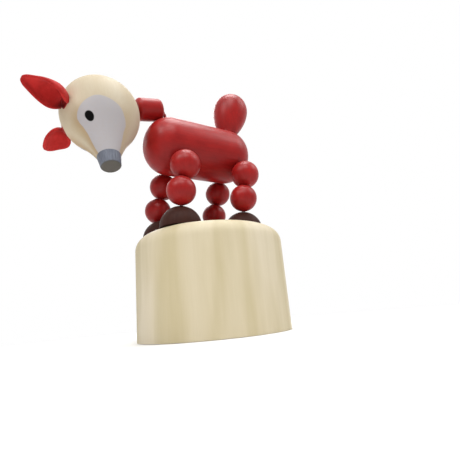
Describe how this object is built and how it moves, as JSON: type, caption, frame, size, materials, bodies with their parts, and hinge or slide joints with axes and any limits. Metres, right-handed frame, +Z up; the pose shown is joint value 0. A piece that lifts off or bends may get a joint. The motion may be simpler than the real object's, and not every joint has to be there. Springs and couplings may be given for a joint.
{
  "type": "push puppet",
  "caption": "Wooden fawn push puppet on a hollow base: a sprung thumb button slackens strings so the head drops and the beaded legs fold.",
  "frame": {"origin": "middle of the ring that the base stands on", "axes": "+Z up through the base, -X the way the fawn faces, -Y its left side"},
  "size_m": [0.0808, 0.048, 0.0909],
  "materials": {
    "base_wood": "bare turned hardwood, fine grain, satin",
    "red_paint": "red paint on turned wood, satin",
    "foot_paint": "dark brown paint on turned wood, satin",
    "head_wood": "bare pale wood with painted grey cheeks, nose and black eyes",
    "ear_leather": "dyed red leather, soft matt",
    "string_cord": "dyed elastic cord",
    "spring_steel": "bright wire"
  },
  "bodies": {
    "base": {"base_cup": "base_wood", "foot_front_left": "foot_paint", "foot_front_right": "foot_paint", "foot_rear_left": "foot_paint", "foot_rear_right": "foot_paint", "return_spring": "spring_steel"},
    "pull_strings": {"pull_string_front_left": "string_cord", "pull_string_front_right": "string_cord", "pull_string_rear_left": "string_cord", "pull_string_rear_right": "string_cord"},
    "button": {"push_button": "base_wood", "string_knots": "string_cord"},
    "shin_front_left": {"shin_bead_front_left": "red_paint", "shin_string_front_left": "string_cord"},
    "shin_front_right": {"shin_bead_front_right": "red_paint", "shin_string_front_right": "string_cord"},
    "shin_rear_left": {"shin_bead_rear_left": "red_paint", "shin_string_rear_left": "string_cord"},
    "shin_rear_right": {"shin_bead_rear_right": "red_paint", "shin_string_rear_right": "string_cord"},
    "thigh_front_left": {"thigh_bead_front_left": "red_paint", "thigh_string_front_left": "string_cord"},
    "thigh_front_right": {"thigh_bead_front_right": "red_paint", "thigh_string_front_right": "string_cord"},
    "thigh_rear_left": {"thigh_bead_rear_left": "red_paint", "thigh_string_rear_left": "string_cord"},
    "thigh_rear_right": {"thigh_bead_rear_right": "red_paint", "thigh_string_rear_right": "string_cord"},
    "barrel": {"barrel_body": "red_paint", "barrel_strings": "string_cord", "tail": "red_paint", "tail_peg": "base_wood"},
    "neck": {"neck_bead": "red_paint", "neck_string": "string_cord"},
    "head": {"head": "head_wood", "ear_left": "ear_leather", "ear_right": "ear_leather"}
  },
  "joints": [
    {"name": "thumb_push", "type": "slide", "parent": "base", "child": "pull_strings", "axis": [0, 0, 1], "range_m": [-0.00088, 0.004], "stiffness_N_per_m": 400, "springref_m": 0.00011, "deforming": ["return_spring"]},
    {"name": "button_tilt", "type": "hinge", "parent": "pull_strings", "child": "button", "pos_m": [0, 0, 0.0108], "axis": [0, 1, 0], "range_deg": [-6.01, 0]},
    {"name": "shin_sway_front_left", "type": "hinge", "parent": "base", "child": "shin_front_left", "pos_m": [-0.0134, -0.008, 0.0324], "axis": [0, 1, 0], "range_deg": [-33.65, 7.48], "stiffness_Nm_per_rad": 0.14, "springref_deg": 0.01},
    {"name": "thigh_sway_front_left", "type": "hinge", "parent": "shin_front_left", "child": "thigh_front_left", "pos_m": [-0.01368, -0.01038, 0.04315], "axis": [0, 1, 0], "range_deg": [-14.55, 65.65], "stiffness_Nm_per_rad": 0.09, "springref_deg": 0},
    {"name": "shin_sway_front_right", "type": "hinge", "parent": "base", "child": "shin_front_right", "pos_m": [-0.0134, 0.008, 0.0324], "axis": [0, 1, 0], "range_deg": [-33.65, 7.48], "stiffness_Nm_per_rad": 0.14},
    {"name": "thigh_sway_front_right", "type": "hinge", "parent": "shin_front_right", "child": "thigh_front_right", "pos_m": [-0.01368, 0.01038, 0.04315], "axis": [0, 1, 0], "range_deg": [-14.55, 65.65], "stiffness_Nm_per_rad": 0.09},
    {"name": "shin_sway_rear_left", "type": "hinge", "parent": "base", "child": "shin_rear_left", "pos_m": [0.0091, -0.008, 0.0324], "axis": [0, 1, 0], "range_deg": [-33.65, 7.48], "stiffness_Nm_per_rad": 0.14},
    {"name": "thigh_sway_rear_left", "type": "hinge", "parent": "shin_rear_left", "child": "thigh_rear_left", "pos_m": [0.00882, -0.01038, 0.04315], "axis": [0, 1, 0], "range_deg": [-14.55, 65.65], "stiffness_Nm_per_rad": 0.09},
    {"name": "shin_sway_rear_right", "type": "hinge", "parent": "base", "child": "shin_rear_right", "pos_m": [0.0091, 0.008, 0.0324], "axis": [0, 1, 0], "range_deg": [-33.65, 7.48], "stiffness_Nm_per_rad": 0.14},
    {"name": "thigh_sway_rear_right", "type": "hinge", "parent": "shin_rear_right", "child": "thigh_rear_right", "pos_m": [0.00882, 0.01038, 0.04315], "axis": [0, 1, 0], "range_deg": [-14.55, 65.65], "stiffness_Nm_per_rad": 0.09},
    {"name": "barrel_level", "type": "hinge", "parent": "thigh_front_left", "child": "barrel", "pos_m": [-0.01158, -0.00983, 0.05227], "axis": [0, 1, 0], "range_deg": [-32.05, 7.12], "stiffness_Nm_per_rad": 0.056, "springref_deg": 0.26},
    {"name": "neck_nod", "type": "hinge", "parent": "barrel", "child": "neck", "pos_m": [-0.01593, 0, 0.07406], "axis": [0, 1, 0], "range_deg": [0, 82], "deforming": ["neck_string"]},
    {"name": "head_swivel", "type": "hinge", "parent": "neck", "child": "head", "pos_m": [-0.01506, 0, 0.0767], "axis": [-0.9781, 0, -0.2079], "range_deg": [-55.5, 24.5]}
  ],
  "couplings": [
    {"joint": "button_tilt", "follows": "neck_nod", "ratio": -0.073171},
    {"joint": "shin_sway_front_left", "follows": "thumb_push", "rad_per_m": -146.61},
    {"joint": "thigh_sway_front_left", "follows": "thumb_push", "rad_per_m": 286.23},
    {"joint": "shin_sway_front_right", "follows": "thumb_push", "rad_per_m": -146.61},
    {"joint": "thigh_sway_front_right", "follows": "thumb_push", "rad_per_m": 286.23},
    {"joint": "shin_sway_rear_left", "follows": "thumb_push", "rad_per_m": -146.61},
    {"joint": "thigh_sway_rear_left", "follows": "thumb_push", "rad_per_m": 286.23},
    {"joint": "shin_sway_rear_right", "follows": "thumb_push", "rad_per_m": -146.61},
    {"joint": "thigh_sway_rear_right", "follows": "thumb_push", "rad_per_m": 286.23},
    {"joint": "barrel_level", "follows": "thumb_push", "rad_per_m": -139.63}
  ]
}
